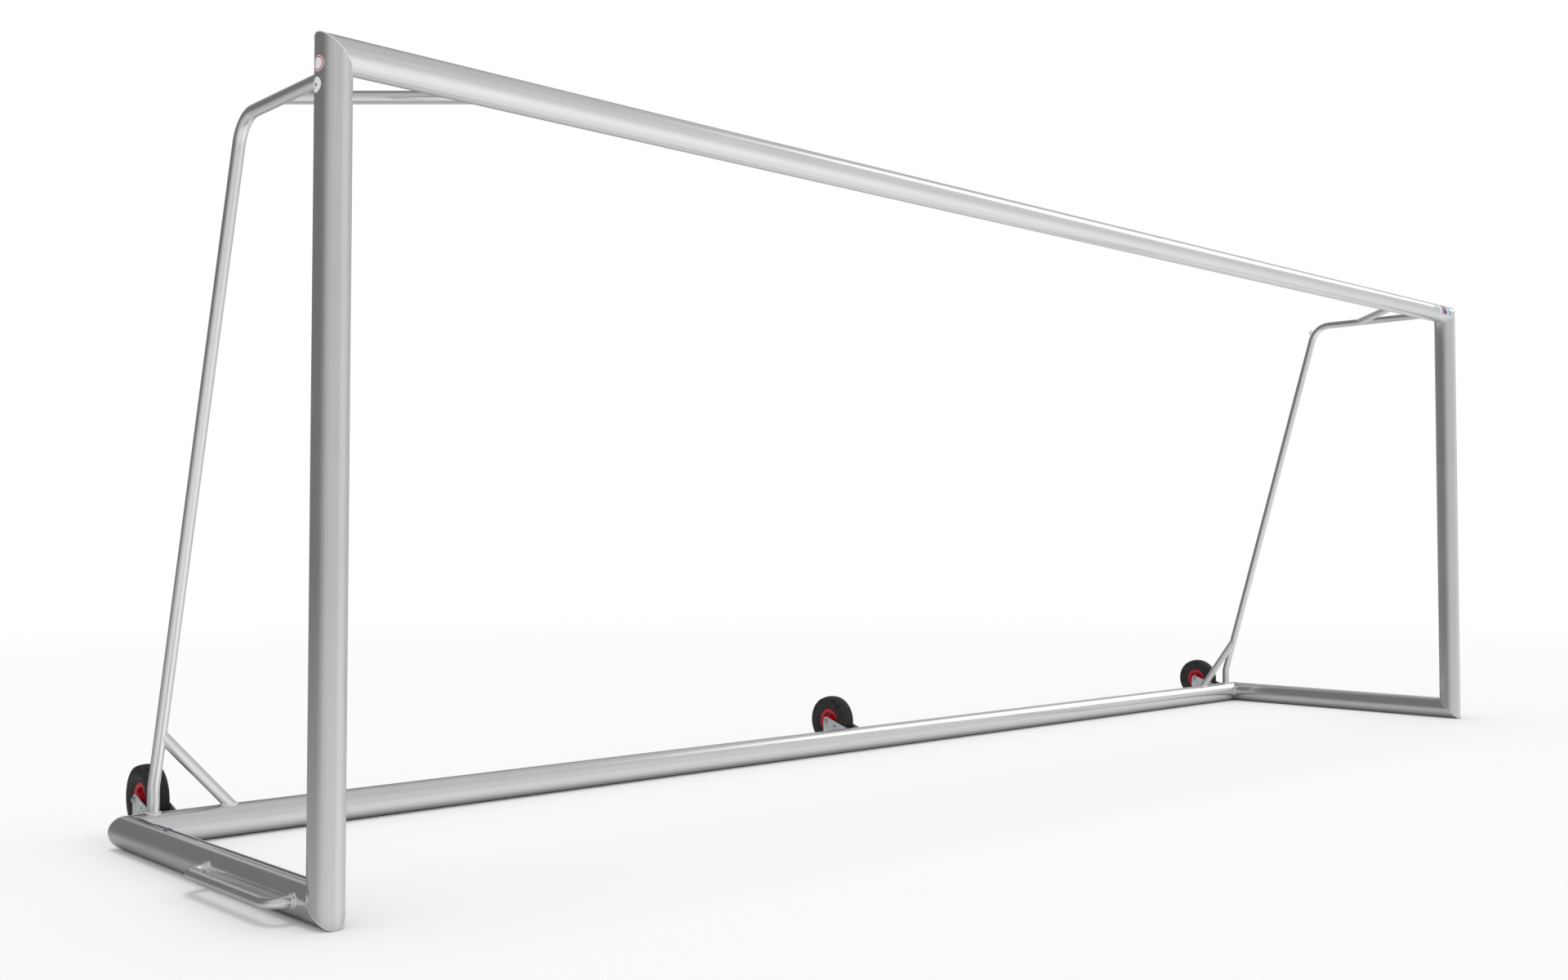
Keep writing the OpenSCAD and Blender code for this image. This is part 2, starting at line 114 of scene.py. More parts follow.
class Graph:
    """Short names for the node calls that every material below repeats."""

    def __init__(self, name, world=False):
        if world:
            self.owner = bpy.data.worlds.new(name)
        else:
            self.owner = bpy.data.materials.new(name)
        self.owner.use_nodes = True
        self.tree = self.owner.node_tree
        self.tree.nodes.clear()
        kind = "ShaderNodeOutputWorld" if world else "ShaderNodeOutputMaterial"
        self.out = self.tree.nodes.new(kind)

    def link(self, a, b):
        self.tree.links.new(a, b)

    def put(self, socket, value):
        if isinstance(value, bpy.types.NodeSocket):
            self.link(value, socket)
        else:
            socket.default_value = value

    def add(self, kind, **props):
        n = self.tree.nodes.new(kind)
        for k, v in props.items():
            setattr(n, k, v)
        return n

    def coords(self, scale=(1, 1, 1)):
        tc = self.add("ShaderNodeTexCoord")
        m = self.add("ShaderNodeMapping")
        m.inputs["Scale"].default_value = scale
        self.link(tc.outputs["Object"], m.inputs["Vector"])
        return m.outputs["Vector"]

    def noise(self, vector, scale, detail=3.0, rough=0.5):
        n = self.add("ShaderNodeTexNoise")
        self.link(vector, n.inputs["Vector"])
        n.inputs["Scale"].default_value = scale
        n.inputs["Detail"].default_value = detail
        n.inputs["Roughness"].default_value = rough
        return n.outputs["Fac"]

    def cells(self, vector, scale):
        """A colour for each cell of a Voronoi pattern."""
        n = self.add("ShaderNodeTexVoronoi", feature="F1")
        self.link(vector, n.inputs["Vector"])
        n.inputs["Scale"].default_value = scale
        return n.outputs["Color"]

    def ramp(self, fac, stops):
        r = self.add("ShaderNodeValToRGB")
        els = r.color_ramp.elements
        while len(els) > 1:
            els.remove(els[-1])
        for i, (pos, col) in enumerate(stops):
            e = els[0] if i == 0 else els.new(pos)
            e.position = pos
            if not isinstance(col, (tuple, list)):
                col = (col, col, col)
            e.color = (*col, 1)
        self.link(fac, r.inputs["Fac"])
        return r.outputs["Color"]

    def span(self, value, a, b, lo, hi, smooth=False):
        m = self.add("ShaderNodeMapRange")
        if smooth:
            m.interpolation_type = "SMOOTHSTEP"
        self.put(m.inputs["Value"], value)
        for key, v in (("From Min", a), ("From Max", b), ("To Min", lo), ("To Max", hi)):
            m.inputs[key].default_value = v
        return m.outputs["Result"]

    def math(self, op, a, b=0.0):
        m = self.add("ShaderNodeMath", operation=op)
        self.put(m.inputs[0], a)
        self.put(m.inputs[1], b)
        return m.outputs[0]

    def mix(self, fac, a, b):
        m = self.add("ShaderNodeMix", data_type="RGBA")
        self.put(m.inputs["Factor"], fac)
        for key, v in ((6, a), (7, b)):
            if isinstance(v, (tuple, list)) and len(v) == 3:
                v = (*v, 1)
            self.put(m.inputs[key], v)
        return m.outputs[2]

    def bump(self, height, strength, distance, after=None):
        b = self.add("ShaderNodeBump")
        b.inputs["Strength"].default_value = strength
        b.inputs["Distance"].default_value = distance
        self.link(height, b.inputs["Height"])
        if after is not None:
            self.link(after, b.inputs["Normal"])
        return b.outputs["Normal"]

    def principled(self, **values):
        p = self.add("ShaderNodeBsdfPrincipled")
        for k, v in values.items():
            key = k.replace("_", " ")
            if isinstance(v, (tuple, list)) and len(v) == 3:
                v = (*v, 1)
            self.put(p.inputs[key], v)
        self.link(p.outputs["BSDF"], self.out.inputs["Surface"])


def drawn_metal(name, axis, base, rough, streak=1.0):
    """Satin drawn or extruded aluminium: faint die lines along one axis, and soft cloudy sheen."""
    g = Graph(name)
    along = [60.0, 60.0, 60.0]
    along["xyz".index(axis)] = 0.35
    lines = g.noise(g.coords(tuple(along)), 9.0, 4.0, 0.6)
    cloud = g.noise(g.coords(), 3.5, 3.0, 0.5)
    speck = g.noise(g.coords(), 240.0, 2.0, 0.6)
    tone = g.math("ADD", g.math("MULTIPLY", lines, 0.7), g.math("MULTIPLY", cloud, 0.3))
    color = g.ramp(tone, [(0.3, base - 0.05), (0.7, base + 0.03)])
    wear = g.math("ADD", g.math("MULTIPLY", cloud, 0.6), g.math("MULTIPLY", speck, 0.4))
    roughness = g.span(wear, 0.3, 0.7, rough - 0.04, rough + 0.05)
    normal = g.bump(lines, 0.05 * streak, 0.0004)
    normal = g.bump(speck, 0.03, 0.0002, normal)
    g.principled(Base_Color=color, Metallic=1.0, Roughness=roughness, Normal=normal)
    return g.owner


def weld_metal():
    """Bright weld metal and its brushed surroundings: paler and softer than the drawn members."""
    g = Graph("weld_bead")
    v = g.coords()
    grain = g.noise(v, 300.0, 3.0, 0.6)
    heat = g.noise(v, 90.0, 2.0, 0.5)
    color = g.ramp(heat, [(0.3, (0.84, 0.84, 0.83)), (0.7, (0.96, 0.96, 0.96))])
    g.principled(Base_Color=color, Metallic=0.45, Roughness=g.span(grain, 0.3, 0.7, 0.22, 0.36),
                 Normal=g.bump(grain, 0.08, 0.0003))
    return g.owner


def galvanised():
    """Hot-dip zinc on sheet steel: pale angular spangles over a soft cloud."""
    g = Graph("galvanised_sheet")
    v = g.coords()
    spangle = g.cells(v, 95.0)
    cloud = g.noise(v, 22.0, 3.0, 0.55)
    sep = g.add("ShaderNodeSeparateColor")
    g.link(spangle, sep.inputs["Color"])
    tone = g.math("ADD", g.math("MULTIPLY", sep.outputs[0], 0.5), g.math("MULTIPLY", cloud, 0.5))
    color = g.ramp(tone, [(0.2, (0.53, 0.56, 0.57)), (0.8, (0.72, 0.76, 0.77))])
    g.principled(Base_Color=color, Metallic=0.55, Roughness=g.span(tone, 0.2, 0.8, 0.36, 0.52),
                 Normal=g.bump(cloud, 0.08, 0.0006))
    return g.owner


def zinc(name, base, rough):
    """Plated or rolled steel with a fine even grain."""
    g = Graph(name)
    v = g.coords()
    fine = g.noise(v, 320.0, 3.0, 0.6)
    color = g.ramp(fine, [(0.3, tuple(c * 0.88 for c in base)), (0.7, base)])
    roughness = g.span(fine, 0.3, 0.7, rough - 0.05, rough + 0.06)
    g.principled(Base_Color=color, Metallic=1.0, Roughness=roughness,
                 Normal=g.bump(fine, 0.08, 0.0002))
    return g.owner


def rubber():
    """Black tyre rubber with a dusty bloom and a fine grain."""
    g = Graph("tyre_rubber")
    v = g.coords()
    grain = g.noise(v, 700.0, 3.0, 0.6)
    dust = g.noise(v, 26.0, 4.0, 0.6)
    color = g.ramp(dust, [(0.35, (0.012, 0.012, 0.012)), (0.75, (0.034, 0.034, 0.034))])
    g.principled(Base_Color=color, Roughness=g.span(dust, 0.3, 0.7, 0.48, 0.66),
                 Specular_IOR_Level=0.42, Normal=g.bump(grain, 0.25, 0.0003))
    return g.owner


def plastic(name, base, rough, depth=0.12, vary=0.12):
    """Moulded plastic, paint or sticker film. vary is how far the colour drifts darker."""
    g = Graph(name)
    v = g.coords()
    grain = g.noise(v, 420.0, 3.0, 0.6)
    cloud = g.noise(v, 30.0, 3.0, 0.5)
    dark = tuple(c * (1 - vary) for c in base)
    color = g.ramp(cloud, [(0.3, dark), (0.7, base)])
    g.principled(Base_Color=color, Roughness=g.span(cloud, 0.3, 0.7, rough - 0.04, rough + 0.06),
                 Normal=g.bump(grain, depth, 0.0002))
    return g.owner


MATS = {
    "x": drawn_metal("extruded_along_x", "x", 0.84, 0.20),
    "y": drawn_metal("extruded_along_y", "y", 0.84, 0.20),
    "z": drawn_metal("extruded_along_z", "z", 0.84, 0.20),
    "tube": drawn_metal("drawn_tube", "z", 0.86, 0.17, 0.6),
    "weld": weld_metal(),
    "galv": galvanised(),
    "zinc": zinc("zinc_plate", (0.72, 0.73, 0.73), 0.28),
    "ballast": zinc("rolled_steel", (0.16, 0.16, 0.17), 0.5),
    "rubber": rubber(),
    "red": plastic("rim_red", (0.44, 0.008, 0.020), 0.32),
    "nylon": plastic("bearing_nylon", (0.80, 0.80, 0.76), 0.42),
    "dark": plastic("chock_plastic", (0.03, 0.03, 0.033), 0.5),
    "clip": plastic("clip_plastic", (0.13, 0.13, 0.19), 0.4),
    "white": plastic("sticker_white", (0.78, 0.78, 0.78), 0.3, depth=0.03, vary=0.04),
    "sred": plastic("sticker_red", (0.48, 0.03, 0.04), 0.3, depth=0.03, vary=0.06),
    "sblue": plastic("sticker_blue", (0.03, 0.09, 0.19), 0.3, depth=0.03, vary=0.06),
    "scyan": plastic("sticker_cyan", (0.10, 0.42, 0.58), 0.3, depth=0.03, vary=0.06),
    "smag": plastic("sticker_magenta", (0.45, 0.08, 0.30), 0.3, depth=0.03, vary=0.06),
    "sgreen": plastic("sticker_green", (0.52, 0.60, 0.55), 0.3, depth=0.03, vary=0.06),
}

SLOT_MATS = {
    "tube_aluminium": "tube", "weld_metal": "weld", "galvanised_steel": "galv",
    "zinc_steel": "zinc", "ballast_steel": "ballast", "chock_plastic": "dark",
    "tyre_rubber": "rubber", "rim_red": "red", "bearing_nylon": "nylon",
}
PROFILE_MATS = {
    "left_post": "z", "right_post": "z", "crossbar": "x", "rear_ground_tube": "x",
    "left_ground_tube": "y", "right_ground_tube": "y",
}
# How far the sharp edges of each plain piece are rolled over
EASED = {"ballast_bars": 1.0 * MM, "ballast_chocks": 0.8 * MM, "fork_bolts": 0.35 * MM,
         "axle_nuts": 0.35 * MM, "axle_washers": 0.25 * MM, "net_eyelet": 0.5 * MM}
for side in ("left", "middle", "right"):
    EASED[side + "_fork"] = 0.7 * MM
    EASED[side + "_axle_bolt"] = 0.35 * MM
for side in SIDES:
    EASED[side + "_handle_collars"] = 0.8 * MM

for part in frame["record"]["subparts"]:
    name = part["node"]
    key = PROFILE_MATS.get(name) or SLOT_MATS[part["material_slot"]]
    if name.endswith("_collars"):
        key = "tube"
    mesh = NODES[name].data
    mesh.materials.clear()
    mesh.materials.append(MATS[key])


# ---- mesh helpers ----

def new_piece(name, verts, faces, mat, body="frame", smooth=40.0, face_mats=None):
    """Makes a piece from vertices and faces. mat is a key, or a list of keys with face_mats.
    Edges sharper than smooth, in degrees, stay hard."""
    mesh = bpy.data.meshes.new(name)
    mesh.from_pydata([tuple(v) for v in verts], [], faces)
    keys = mat if isinstance(mat, list) else [mat]
    for k in keys:
        mesh.materials.append(MATS[k])
    if face_mats:
        mesh.polygons.foreach_set("material_index", face_mats)
    bm = bmesh.new()
    bm.from_mesh(mesh)
    bmesh.ops.recalc_face_normals(bm, faces=bm.faces)
    for f in bm.faces:
        f.smooth = True
    limit = math.radians(smooth)
    for e in bm.edges:
        if len(e.link_faces) == 2 and e.calc_face_angle(0.0) > limit:
            e.smooth = False
    bm.to_mesh(mesh)
    bm.free()
    obj = bpy.data.objects.new(name, mesh)
    SCENE.collection.objects.link(obj)
    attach(obj, body)
    return obj


def loft(rings, closed_path=False):
    """Vertices and faces of a skin over equal closed rings, capped unless the path is closed."""
    n = len(rings[0])
    verts = [p for r in rings for p in r]
    faces = []
    last = len(rings) if closed_path else len(rings) - 1
    for i in range(last):
        a, b = i * n, ((i + 1) % len(rings)) * n
        for j in range(n):
            k = (j + 1) % n
            faces.append((a + j, a + k, b + k, b + j))
    if not closed_path:
        faces.append(tuple(range(n)))
        faces.append(tuple((len(rings) - 1) * n + j for j in reversed(range(n))))
    return verts, faces


def arc(cx, cy, r, a0, a1, n):
    """Points of an arc in degrees, both ends included."""
    return [(cx + r * math.cos(math.radians(a0 + (a1 - a0) * i / n)),
             cy + r * math.sin(math.radians(a0 + (a1 - a0) * i / n))) for i in range(n + 1)]


def frames_along(path, up):
    """A side and an up vector at each point of a path, carried along without twist."""
    out = []
    n = len(path)
    u = Vector(up)
    for i, p in enumerate(path):
        t = (path[min(i + 1, n - 1)] - path[max(i - 1, 0)]).normalized()
        u = (u - t * u.dot(t)).normalized()
        out.append((t.cross(u).normalized(), u.copy()))
    return out


def around(p, side, up, r, n):
    """A circle of n points round p, in the plane of side and up."""
    turns = [2 * math.pi * k / n for k in range(n)]
    return [p + side * (r * math.cos(w)) + up * (r * math.sin(w)) for w in turns]


def tube(path, r, up, n=56):
    """A capped round tube of radius r along a path."""
    return loft([around(p, side, u, r, n) for p, (side, u) in zip(path, frames_along(path, up))])


def rounded_path(points, radius, step=3.0):
    """A polyline whose inner corners are arcs of one radius, with a point every few degrees."""
    out = [points[0]]
    for a, b, c in zip(points, points[1:], points[2:]):
        d0, d1 = (b - a).normalized(), (c - b).normalized()
        turn = d0.angle(d1)
        t = radius * math.tan(turn / 2)
        start = b - d0 * t
        inward = (d1 - d0 * d1.dot(d0)).normalized()
        centre = start + inward * radius
        n = max(2, round(math.degrees(turn) / step))
        for i in range(n + 1):
            w = turn * i / n
            out.append(centre - inward * (radius * math.cos(w)) + d0 * (radius * math.sin(w)))
    out.append(points[-1])
    return out


# ---- the oval profile ----

END_C = PROFILE_D / 2 - END_R
SIDE_R = (PROFILE_W ** 2 / 4 + END_C ** 2 - END_R ** 2) / (PROFILE_W - 2 * END_R)
SIDE_E = SIDE_R - PROFILE_W / 2
TANGENT = math.degrees(math.atan2(END_C, SIDE_E))


def profile_section():
    """Closed outline of the outer skin, round into the groove. Width along u, groove at +v."""
    lip = 0.7 * MM
    half = GROOVE_SLOT / 2
    top = END_C + math.sqrt(END_R ** 2 - (half + lip) ** 2)
    mouth = math.degrees(math.asin(half / GROOVE_R))
    right = []
    right += arc(-SIDE_E, 0, SIDE_R, 0, TANGENT, 14)[:-1]
    edge = math.degrees(math.asin((half + lip) / END_R))
    right += arc(0, END_C, END_R, TANGENT, 90 - edge, 26)
    right += arc(half + lip, top - lip, lip, 90, 180, 4)[1:]
    right += arc(0, GROOVE_IN, GROOVE_R, 90 - mouth, -90, 16)
    low = []
    low += arc(-SIDE_E, 0, SIDE_R, 0, -TANGENT, 14)[1:-1]
    low += arc(0, -END_C, END_R, -TANGENT, -90, 30)
    left = [(-u, v) for u, v in reversed(right[:-1])]
    low_left = [(-u, v) for u, v in low[:-1]]
    return right + left + low_left + list(reversed(low))


SECTION = profile_section()


def member(name, node, place, spans, mat, steps=24):
    """A profile member. place maps (u, v, t) to a point; spans maps u, v to its two ends."""
    rings = []
    for i in range(steps + 1):
        ring = []
        for u, v in SECTION:
            a, b = spans(u, v)
            ring.append(Vector(place(u, v, a + (b - a) * i / steps)))
        rings.append(ring)
    verts, faces = loft(rings)
    piece = new_piece(name, verts, faces, mat, smooth=35.0)
    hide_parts(node)


for side, s in SIDES.items():
    member(side + "_post_profile", side + "_post",
           lambda u, v, t, s=s: (s * (POST_X + u), MOUTH_Y + v, t),
           lambda u, v: (GROUND_Z + v, BAR_Z + u), "z")
    member(side + "_ground_profile", side + "_ground_tube",
           lambda u, v, t, s=s: (s * (POST_X + u), t, GROUND_Z + v),
           lambda u, v: (MOUTH_Y + v, REAR_Y + u), "y")
member("crossbar_profile", "crossbar",
       lambda u, v, t: (t, MOUTH_Y + v, BAR_Z + u),
       lambda u, v: (-POST_X - u, POST_X + u), "x")
member("rear_profile", "rear_ground_tube",
       lambda u, v, t: (t, REAR_Y + u, GROUND_Z + v),
       lambda u, v: (-POST_X - u, POST_X + u), "x")


# ---- stays, braces and handles ----

def stay_point(s, z):
    """The point of the stay's sloping axis at height z."""
    slope = (REAR_Y - MOUTH_Y - STAY_REACH) / (BAR_Z - STAY_KNEE_Z)
    return Vector((s * STAY_X, MOUTH_Y + STAY_REACH + (BAR_Z - z) * slope, z))


LIMBS = {}
for side, s in SIDES.items():
    corners = [
        Vector((s * STAY_X, MOUTH_Y + PROFILE_D / 2 - STAY_SUNK, BAR_Z)),
        Vector((s * STAY_X, MOUTH_Y + STAY_REACH, BAR_Z)),
        Vector((s * STAY_X, REAR_Y, STAY_KNEE_Z)),
        Vector((s * STAY_X, REAR_Y, PROFILE_D - STAY_SUNK)),
    ]
    LIMBS[side + "_stay"] = (rounded_path(corners, STAY_BEND_R), STAY_R, (1, 0, 0))
    a = Vector((s * STAY_X, MOUTH_Y + TOP_BRACE_BACK, BAR_Z))
    b = Vector((s * (STAY_X - TOP_BRACE_IN), MOUTH_Y + PROFILE_D / 2, BAR_Z))
    LIMBS[side + "_top_brace"] = ([a, b + (b - a).normalized() * LIMB_SUNK], STAY_R, (0, 0, 1))
    a = stay_point(s, FOOT_BRACE_UP)
    b = Vector((s * (STAY_X - FOOT_BRACE_IN), REAR_Y, PROFILE_D))
    LIMBS[side + "_foot_brace"] = ([a, b + (b - a).normalized() * LIMB_SUNK], STAY_R, (0, 1, 0))
    inner = s * (POST_X + PROFILE_W / 2 - LIMB_SUNK)
    corners = [
        Vector((inner, HANDLE_FRONT, HANDLE_Z)), Vector((s * GRIP_X, HANDLE_FRONT, HANDLE_Z)),
        Vector((s * GRIP_X, HANDLE_REAR, HANDLE_Z)), Vector((inner, HANDLE_REAR, HANDLE_Z)),
    ]
    LIMBS[side + "_handle"] = (rounded_path(corners, HANDLE_BEND_R), HANDLE_R, (0, 0, 1))
for node, (path, r, up) in LIMBS.items():
    verts, faces = tube(path, r, up)
    piece = new_piece(node + "_tube", verts, faces, "tube")
    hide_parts(node)


# ---- welds ----

BEAD_STEP = 1.1 * MM
BEAD_SIDES = 10
# The radii of the beads where round limbs end, and of the small ones round the collars
LIMB_BEAD = 3.2 * MM
STAY_FOOT_BEAD = 4.5 * MM
BRACE_FOOT_BEAD = 3.4 * MM
HANDLE_BEAD = 2.0 * MM
COLLAR_BEAD = 1.4 * MM
# A ring bead's centre line stands this far off the limb and off the member, in shares of its radius
BEAD_OUT = 0.35
BEAD_UP = 0.3


def ripple(run, pitch):
    """How full a bead is, as a share of its radius, at a distance along it."""
    wave = (run / pitch) % 1.0
    return 0.90 + 0.16 * (1 - wave) ** 0.6 + 0.05 * math.sin(run * 410) * math.sin(run * 173)


def bead(name, path, r, closed, pitch=4.5 * MM):
    """A weld bead: a rope with the overlapping ripples that a welder's steps leave."""
    dense = []
    total = len(path) if closed else len(path) - 1
    for i in range(total):
        a, b = path[i], path[(i + 1) % len(path)]
        n = max(1, round((b - a).length / BEAD_STEP))
        dense += [a + (b - a) * (k / n) for k in range(n)]
    if not closed:
        dense.append(path[-1])
    rings, run = [], 0.0
    n = len(dense)
    ref = Vector((0.31, 0.52, 0.79))
    for i, p in enumerate(dense):
        if closed:
            t = (dense[(i + 1) % n] - dense[i - 1]).normalized()
        else:
            t = (dense[min(i + 1, n - 1)] - dense[max(i - 1, 0)]).normalized()
        ref = (ref - t * ref.dot(t)).normalized()
        swell = r * ripple(run, pitch)
        if not closed:  # an open run tapers at both ends
            swell *= min(1.0, 0.35 + min(i, n - 1 - i) * 0.12)
        rings.append(around(p, ref, t.cross(ref), swell, BEAD_SIDES))
        if i + 1 < n:
            run += (dense[i + 1] - p).length
    verts, faces = loft(rings, closed_path=closed)
    new_piece(name, verts, faces, "weld", smooth=60.0)


def seam(spot, floor_gap=4 * MM, depth=0.992):
    """A mitre's seam as runs of points just under the skin, clear of the ground and the groove."""
    lips = GROOVE_SLOT / 2 + 1.2 * MM
    skin = [(u, v) for u, v in SECTION
            if math.hypot(u, v - GROOVE_IN) > GROOVE_R + 2 * MM and not (abs(u) < lips and v > 0)]
    start = next(i for i, (u, v) in enumerate(skin) if u < 0 and v > 0 and skin[i - 1][0] > 0)
    skin = skin[start:] + skin[:start]
    runs, run = [], []
    for u, v in skin:
        p = Vector(spot(u * depth, v * depth))
        if p.z > floor_gap:
            run.append(p)
        elif run:
            runs.append(run)
            run = []
    if run:
        runs.append(run)
    return [r for r in runs if len(r) > 3]


# The mitres' weld radius: dressed nearly flush at the toe, fuller above
MITRE_BEAD = {"top": 1.6 * MM, "toe": 0.9 * MM, "heel": 1.5 * MM}

for side, s in SIDES.items():
    spots = {
        "top": lambda u, v, s=s: (s * (POST_X + u), MOUTH_Y + v, BAR_Z + u),
        "toe": lambda u, v, s=s: (s * (POST_X + u), MOUTH_Y + v, GROUND_Z + v),
        "heel": lambda u, v, s=s: (s * (POST_X + u), REAR_Y + u, GROUND_Z + v),
    }
    for where, spot in spots.items():
        for i, run in enumerate(seam(spot)):
            bead(f"{side}_{where}_mitre_weld_{i + 1}", run, MITRE_BEAD[where], False)


TREES = {}


def tree_of(name):
    """The ray-cast tree of a piece, built once."""
    if name not in TREES:
        mesh = bpy.data.objects[name].data
        TREES[name] = BVHTree.FromPolygons([v.co.copy() for v in mesh.vertices],
                                           [tuple(p.vertices) for p in mesh.polygons])
    return TREES[name]


def ring_weld(name, start, direction, r, target, bead_r, n=72):
    """A fillet weld where a round limb meets another member: rays along the limb find the seam."""
    d = Vector(direction).normalized()
    ref = Vector((0, 0, 1)) if abs(d.z) < 0.8 else Vector((1, 0, 0))
    u = (ref - d * ref.dot(d)).normalized()
    side = d.cross(u)
    path = []
    for origin in around(start, u, side, r + bead_r * BEAD_OUT, n):
        hit = tree_of(target).ray_cast(origin, d)
        if hit[0] is not None:
            path.append(hit[0] - d * (bead_r * BEAD_UP))
    if len(path) == n:
        bead(name, path, bead_r, True, 5 * MM)


for side, s in SIDES.items():
    stay, top, foot = (LIMBS[f"{side}_{k}"][0] for k in ("stay", "top_brace", "foot_brace"))
    stay_name = side + "_stay_tube"
    behind_bar = stay[0] + Vector((0, 0.15, 0))
    above_foot = stay[-1] + Vector((0, 0, 0.05))
    top_mid = (top[0] + top[-1]) / 2
    foot_mid = (foot[0] + foot[-1]) / 2
    for joint, start, way, target, bead_r in (
            ("stay_top", behind_bar, (0, -1, 0), "crossbar_profile", LIMB_BEAD),
            ("stay_foot", above_foot, (0, 0, -1), "rear_profile", STAY_FOOT_BEAD),
            ("top_brace_bar", top_mid, top[-1] - top[0], "crossbar_profile", LIMB_BEAD),
            ("top_brace_stay", top_mid, top[0] - top[-1], stay_name, LIMB_BEAD),
            ("foot_brace_tube", foot_mid, foot[-1] - foot[0], "rear_profile", BRACE_FOOT_BEAD),
            ("foot_brace_stay", foot_mid, foot[0] - foot[-1], stay_name, LIMB_BEAD)):
        ring_weld(f"{side}_{joint}_weld", start, way, STAY_R, target, bead_r)
    collar_lo, collar_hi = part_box(side + "_handle_collars")
    collar_face = collar_lo.x if s < 0 else collar_hi.x
    collar_r = (collar_hi.z - collar_lo.z) / 2
    for where, y in (("front", HANDLE_FRONT), ("rear", HANDLE_REAR)):
        outside = Vector((s * (GRIP_X - 20 * MM), y, HANDLE_Z))
        ring_weld(f"{side}_collar_{where}_weld", outside, (-s, 0, 0), collar_r,
                  side + "_ground_profile", COLLAR_BEAD)
        ring = around(Vector((collar_face, y, HANDLE_Z)), Vector((0, 1, 0)), Vector((0, 0, 1)),
                      HANDLE_R + 0.6 * MM, 72)
        bead(f"{side}_handle_{where}_weld", ring, HANDLE_BEAD, True)


# ---- eased edges on the plain CAD pieces ----

# Points nearer than this are one; faces flatter than this join; edges sharper than this are eased
MERGE = 0.002 * MM
FLAT_DEG = 0.3
SHARP_DEG = 38


def eased(node, width):
    """A copy of a CAD node whose sharp edges are rolled over a little. It stands for the node."""
    bm = bmesh.new()
    bm.from_mesh(NODES[node].data)
    bmesh.ops.remove_doubles(bm, verts=bm.verts, dist=MERGE)
    bmesh.ops.dissolve_limit(bm, angle_limit=math.radians(FLAT_DEG), verts=bm.verts, edges=bm.edges)
    for f in bm.faces:
        f.smooth = True
    mesh = NODES[node].data.copy()
    bm.to_mesh(mesh)
    bm.free()
    obj = bpy.data.objects.new(node + "_finish", mesh)
    SCENE.collection.objects.link(obj)
    ease = obj.modifiers.new("ease", "BEVEL")
    ease.width = width
    ease.segments = 2
    ease.limit_method = "ANGLE"
    ease.angle_limit = math.radians(SHARP_DEG)
    ease.harden_normals = True
    shape = obj.evaluated_get(bpy.context.evaluated_depsgraph_get())
    obj.data = bpy.data.meshes.new_from_object(shape)
    obj.modifiers.clear()
    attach(obj, "frame")
    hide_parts(node)


for node, width in EASED.items():
    eased(node, width)


# ---- wheels ----

def revolve(profile, centre, n, wobble=None):
    """Skin of a closed profile of (radius, x) turned about the X axis through centre. wobble may
    move each point, given its radius, its x and the angle."""
    rings = []
    for k in range(n):
        w = 2 * math.pi * k / n
        ring = []
        for r, x in profile:
            if wobble:
                r, x = wobble(r, x, w)
            ring.append(centre + Vector((x, r * math.cos(w), r * math.sin(w))))
        rings.append(ring)
    return loft(rings, closed_path=True)


# The tread's grooves: their places, half widths at the top and at the foot, and depth
TREAD_GROOVES = (7.5 * MM, 20.5 * MM)
TREAD_TOP = 1.6 * MM
TREAD_FOOT = 0.9 * MM
TREAD_DEPTH = 3.2 * MM
# How far the crown's parabola would drop at the tyre's full half width
CROWN_DROP = 7.2 * MM
# The grooves' zigzag: its waves in a turn, and its sideways reach for each radian of wave
TREAD_WAVES = 30
TREAD_WANDER = 1.1 * MM


def tyre_profile():
    """The tyre's section as (radius, x), from the crown's middle to the bead and then mirrored."""
    half_w = TYRE_W / 2
    mid_r = (WHEEL_R + SEAT_R) / 2

    def crown(x):
        return WHEEL_R - CROWN_DROP * (x / half_w) ** 2

    pts = [(crown(0), 0.0)]
    for x in TREAD_GROOVES:
        foot = crown(x) - TREAD_DEPTH
        pts += [(crown(x - TREAD_TOP), x - TREAD_TOP), (foot, x - TREAD_FOOT),
                (foot, x + TREAD_FOOT), (crown(x + TREAD_TOP), x + TREAD_TOP)]
    pts += [(crown(x), x) for x in (0.0255, 0.0285, 0.0312)]
    shoulder = (WHEEL_R - 0.0115, 0.0352)
    pts += [((pts[-1][0] + shoulder[0]) / 2 + 0.0018, 0.0345), shoulder]
    # a shallow line under the shoulder, the bulging wall, a rib, and the bead on the rim's seat
    pts += [(WHEEL_R - 0.0150, 0.0372), (WHEEL_R - 0.0162, 0.0368), (WHEEL_R - 0.0178, 0.0372)]
    pts += [(WHEEL_R - 0.0200, 0.0388), (mid_r + 0.007, 0.0398), (mid_r, 0.0400),
            (mid_r - 0.006, 0.0394), (mid_r - 0.011, 0.0378)]
    pts += [(mid_r - 0.015, 0.0352), (mid_r - 0.0165, 0.0350), (mid_r - 0.0180, 0.0338),
            (mid_r - 0.0215, 0.0305)]
    pts += [(RIM_R + 0.0030, 0.0282), (RIM_R - 0.0010, 0.0262), (SEAT_R + 0.0005, 0.0225),
            (SEAT_R + 0.0002, 0.0)]
    return pts + [(r, -x) for r, x in reversed(pts[1:-1])]


